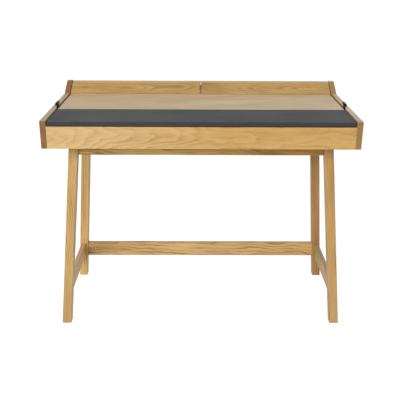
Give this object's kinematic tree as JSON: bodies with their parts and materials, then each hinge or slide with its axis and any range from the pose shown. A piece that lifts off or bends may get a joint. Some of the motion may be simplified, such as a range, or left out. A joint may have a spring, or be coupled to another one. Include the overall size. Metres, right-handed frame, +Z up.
{
  "type": "writing desk",
  "caption": "Oak writing desk: a shallow tray on splayed legs, with a dark lid that folds back over the fixed top and sloped lids over rear compartments.",
  "frame": {"origin": "on the floor under the middle of the desk's plan outline", "axes": "+X to the right across the desk as seen from its front, +Y to the rear, +Z up"},
  "size_m": [1.05, 0.524, 0.7975],
  "materials": {
    "oak_panel": "matt lacquered oak veneer",
    "oak_top": "satin lacquered oak veneer",
    "oak_solid": "matt lacquered solid oak",
    "oak_inside": "thin lacquer on oak veneer",
    "beech": "raw",
    "linoleum": "matt furniture linoleum",
    "black_steel": "black powder coat",
    "bright_steel": "zinc plated",
    "felt": "pressed felt",
    "nylon": "moulded nylon"
  },
  "bodies": {
    "desk": {"front_panel": "oak_panel", "back_panel": "oak_panel", "left_side_panel": "oak_panel", "right_side_panel": "oak_panel", "fixed_top": "oak_top", "left_front_leg": "oak_solid", "right_front_leg": "oak_solid", "left_back_leg": "oak_solid", "right_back_leg": "oak_solid", "front_apron": "oak_solid", "back_apron": "oak_solid", "left_side_apron": "oak_solid", "right_side_apron": "oak_solid", "left_side_stretcher": "oak_solid", "right_side_stretcher": "oak_solid", "back_stretcher": "oak_solid", "bottom_panel": "oak_inside", "rear_partition": "oak_inside", "centre_divider": "oak_inside", "left_rear_lid_rest": "oak_inside", "right_rear_lid_rest": "oak_inside", "left_top_cleat": "oak_inside", "right_top_cleat": "oak_inside", "top_rail": "oak_inside", "carcass_dowels": "beech", "corner_blocks": "beech", "left_hinge_ear": "black_steel", "right_hinge_ear": "black_steel", "hinge_ear_screws": "black_steel", "left_hinge_pin": "bright_steel", "right_hinge_pin": "bright_steel", "rear_pivot_pins": "bright_steel", "tray_screws": "bright_steel", "lid_bumpers": "felt", "foot_glides": "nylon"},
    "writing_lid": {"lid_core": "oak_top", "lid_linoleum": "linoleum", "lid_front_edging": "linoleum", "left_lid_arm": "black_steel", "right_lid_arm": "black_steel", "lid_arm_screws": "black_steel"},
    "rear_lid_left": {"left_rear_lid": "oak_top"},
    "rear_lid_right": {"right_rear_lid": "oak_top"}
  },
  "joints": [
    {"name": "writing_lid_hinge", "type": "hinge", "parent": "desk", "child": "writing_lid", "pos_m": [0, -0.032, 0.76683], "axis": [-1, 0, 0], "range_deg": [0, 180]},
    {"name": "left_rear_lid_pivot", "type": "hinge", "parent": "desk", "child": "rear_lid_left", "pos_m": [-0.253, 0.2369, 0.78401], "axis": [-1, 0, 0], "range_deg": [0, 127]},
    {"name": "right_rear_lid_pivot", "type": "hinge", "parent": "desk", "child": "rear_lid_right", "pos_m": [0.253, 0.2369, 0.78401], "axis": [-1, 0, 0], "range_deg": [0, 127]}
  ]
}
